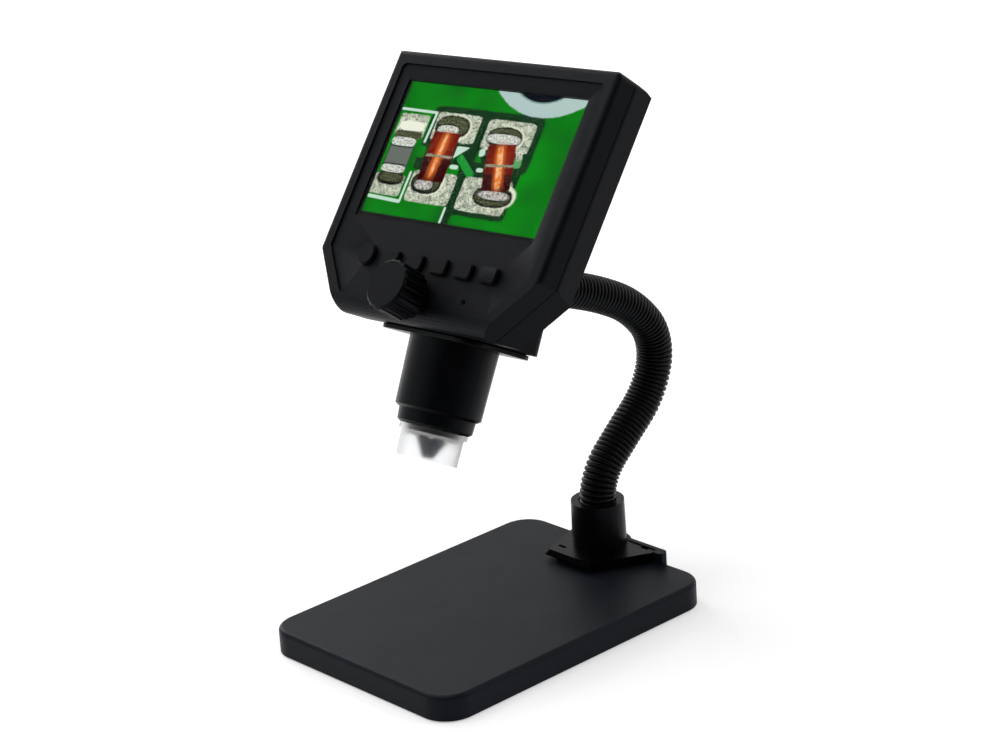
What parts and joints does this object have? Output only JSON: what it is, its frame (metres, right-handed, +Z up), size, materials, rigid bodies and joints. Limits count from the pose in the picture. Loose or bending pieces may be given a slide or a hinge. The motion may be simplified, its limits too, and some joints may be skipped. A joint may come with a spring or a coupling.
{
  "type": "lcd digital microscope",
  "caption": "Desktop digital microscope: a screen head with a lens barrel on a gooseneck that stands at the back of a flat weighted base.",
  "frame": {"origin": "centre of the base, on the surface that the feet stand on", "axes": "+X to the right as seen from the front, +Y to the back where the post stands, +Z up"},
  "size_m": [0.1244, 0.1733, 0.2206],
  "materials": {
    "head_plastic": "black ABS, fine spark-eroded grain",
    "base_plastic": "black ABS, fine grain with a soft sheen",
    "barrel_plastic": "satin black moulding",
    "neck_sleeve": "ribbed black plastic sleeve",
    "key_plastic": "satin black key caps",
    "knob_plastic": "matte black knob with grips",
    "steel": "bright turned steel",
    "weight_steel": "plain steel plate",
    "screws": "black screws",
    "brass": "turned brass",
    "rubber": "moulded rubber foot",
    "window": "clear hard-coated acrylic",
    "display": "lit display",
    "board": "green circuit board",
    "chips": "moulded chip bodies",
    "battery": "foil pouch",
    "metal_shield": "tinned sheet",
    "lens": "coated lens",
    "led": "white light-emitting diode",
    "white_board": "white circuit board",
    "clear_plastic": "clear polycarbonate"
  },
  "bodies": {
    "base": {"base_shell": "base_plastic", "base_cover": "base_plastic", "steel_weight": "weight_steel", "base_feet": "rubber", "base_screws": "screws", "socket_plate": "base_plastic"},
    "neck_1": {"neck_ferrule": "steel", "neck_nut": "steel", "neck_link_1": "steel", "neck_sleeve_1": "neck_sleeve"},
    "neck_2": {"neck_link_2": "steel", "neck_sleeve_2": "neck_sleeve"},
    "neck_3": {"neck_link_3": "steel", "neck_sleeve_3": "neck_sleeve"},
    "neck_4": {"neck_link_4": "steel", "neck_sleeve_4": "neck_sleeve"},
    "neck_5": {"neck_link_5": "steel", "neck_sleeve_5": "neck_sleeve"},
    "neck_6": {"neck_link_6": "steel", "neck_sleeve_6": "neck_sleeve"},
    "neck_7": {"neck_link_7": "steel", "neck_sleeve_7": "neck_sleeve"},
    "neck_8": {"neck_link_8": "steel", "neck_sleeve_8": "neck_sleeve", "neck_end": "steel", "socket_nut": "steel"},
    "head": {"head_socket": "head_plastic", "front_shell": "head_plastic", "rear_shell": "head_plastic", "screen_window": "window", "lcd_panel": "display", "main_board": "board", "board_chips": "chips", "battery": "battery", "usb_port": "metal_shield", "card_slot": "metal_shield", "case_screws": "screws", "key_switches": "chips", "shaft_bush": "brass", "barrel_tube": "barrel_plastic", "bottom_plate": "head_plastic", "sensor_board": "board", "nose_ring": "barrel_plastic", "led_board": "white_board", "leds": "led", "lens_nose": "barrel_plastic"},
    "power_button": {"power_button": "key_plastic"},
    "key_1": {"key_1": "key_plastic"},
    "key_2": {"key_2": "key_plastic"},
    "key_3": {"key_3": "key_plastic"},
    "key_4": {"key_4": "key_plastic"},
    "key_5": {"key_5": "key_plastic"},
    "brightness_wheel": {"brightness_wheel": "knob_plastic"},
    "focus_knob": {"focus_knob": "knob_plastic", "focus_shaft": "steel"},
    "lens_carriage": {"lens_carriage": "chips", "objective_lens": "lens"},
    "clear_hood": {"clear_hood": "clear_plastic"},
    "battery_cover": {"battery_cover": "head_plastic"}
  },
  "joints": [
    {"name": "neck_swivel", "type": "hinge", "parent": "base", "child": "neck_1", "pos_m": [0, 0.061, 0.02], "axis": [0, 0, 1], "range_deg": [-30, 30]},
    {"name": "lower_bend", "type": "hinge", "parent": "neck_1", "child": "neck_2", "pos_m": [0, 0.06945, 0.04953], "axis": [1, 0, 0], "range_deg": [-8, 8]},
    {"name": "lower_bend_b", "type": "hinge", "parent": "neck_2", "child": "neck_3", "pos_m": [0, 0.08477, 0.06239], "axis": [1, 0, 0], "range_deg": [-8, 8]},
    {"name": "side_bend", "type": "hinge", "parent": "neck_3", "child": "neck_4", "pos_m": [0, 0.09579, 0.07873], "axis": [0, 0.9563, -0.2924], "range_deg": [-9, 9]},
    {"name": "upper_bend", "type": "hinge", "parent": "neck_4", "child": "neck_5", "pos_m": [0, 0.09185, 0.099], "axis": [1, 0, 0], "range_deg": [-7, 7]},
    {"name": "upper_bend_b", "type": "hinge", "parent": "neck_5", "child": "neck_6", "pos_m": [0, 0.07624, 0.1121], "axis": [1, 0, 0], "range_deg": [-7, 7]},
    {"name": "side_bend_b", "type": "hinge", "parent": "neck_6", "child": "neck_7", "pos_m": [0, 0.05677, 0.12118], "axis": [0, 0.3584, 0.9336], "range_deg": [-9, 9]},
    {"name": "upper_bend_c", "type": "hinge", "parent": "neck_7", "child": "neck_8", "pos_m": [0, 0.03829, 0.12883], "axis": [1, 0, 0], "range_deg": [-7, 7]},
    {"name": "head_swivel", "type": "hinge", "parent": "neck_8", "child": "head", "pos_m": [0, 0.02072, 0.13727], "axis": [0.0328, 0.8877, -0.4592], "range_deg": [-30, 30]},
    {"name": "focus_turn", "type": "hinge", "parent": "head", "child": "focus_knob", "pos_m": [0.0007, -0.02738, 0.14148], "axis": [-0.0439, -0.7882, 0.6138], "range_deg": [-67.1, 67.1]},
    {"name": "focus_slide", "type": "slide", "parent": "head", "child": "lens_carriage", "axis": [-0.0633, 0.4604, 0.8855], "range_m": [-0.005, 0.005]},
    {"name": "power_press", "type": "slide", "parent": "head", "child": "power_button", "axis": [0.0439, 0.7882, -0.6138], "range_m": [0, 0.0005], "stiffness_N_per_m": 250, "springref_m": -0.001},
    {"name": "key_1_press", "type": "slide", "parent": "head", "child": "key_1", "axis": [0.0439, 0.7882, -0.6138], "range_m": [0, 0.0005], "stiffness_N_per_m": 250, "springref_m": -0.001},
    {"name": "key_2_press", "type": "slide", "parent": "head", "child": "key_2", "axis": [0.0439, 0.7882, -0.6138], "range_m": [0, 0.0005], "stiffness_N_per_m": 250, "springref_m": -0.001},
    {"name": "key_3_press", "type": "slide", "parent": "head", "child": "key_3", "axis": [0.0439, 0.7882, -0.6138], "range_m": [0, 0.0005], "stiffness_N_per_m": 250, "springref_m": -0.001},
    {"name": "key_4_press", "type": "slide", "parent": "head", "child": "key_4", "axis": [0.0439, 0.7882, -0.6138], "range_m": [0, 0.0005], "stiffness_N_per_m": 250, "springref_m": -0.001},
    {"name": "key_5_press", "type": "slide", "parent": "head", "child": "key_5", "axis": [0.0439, 0.7882, -0.6138], "range_m": [0, 0.0005], "stiffness_N_per_m": 250, "springref_m": -0.001},
    {"name": "brightness_turn", "type": "hinge", "parent": "head", "child": "brightness_wheel", "pos_m": [-0.06019, 0.01407, 0.17985], "axis": [-0.0439, -0.7882, 0.6138], "range_deg": [-140, 140]},
    {"name": "hood_slide", "type": "slide", "parent": "head", "child": "clear_hood", "axis": [0.0633, -0.4604, -0.8855], "range_m": [0, 0.014]},
    {"name": "battery_slide", "type": "slide", "parent": "head", "child": "battery_cover", "axis": [-0.0562, 0.6154, 0.7862], "range_m": [0, 0.03]}
  ],
  "couplings": [
    {"joint": "lower_bend_b", "follows": "lower_bend", "ratio": 1},
    {"joint": "side_bend_b", "follows": "side_bend", "ratio": 1},
    {"joint": "upper_bend_b", "follows": "upper_bend", "ratio": 1},
    {"joint": "upper_bend_c", "follows": "upper_bend", "ratio": 1},
    {"joint": "focus_turn", "follows": "focus_slide", "rad_per_m": 234.06}
  ]
}
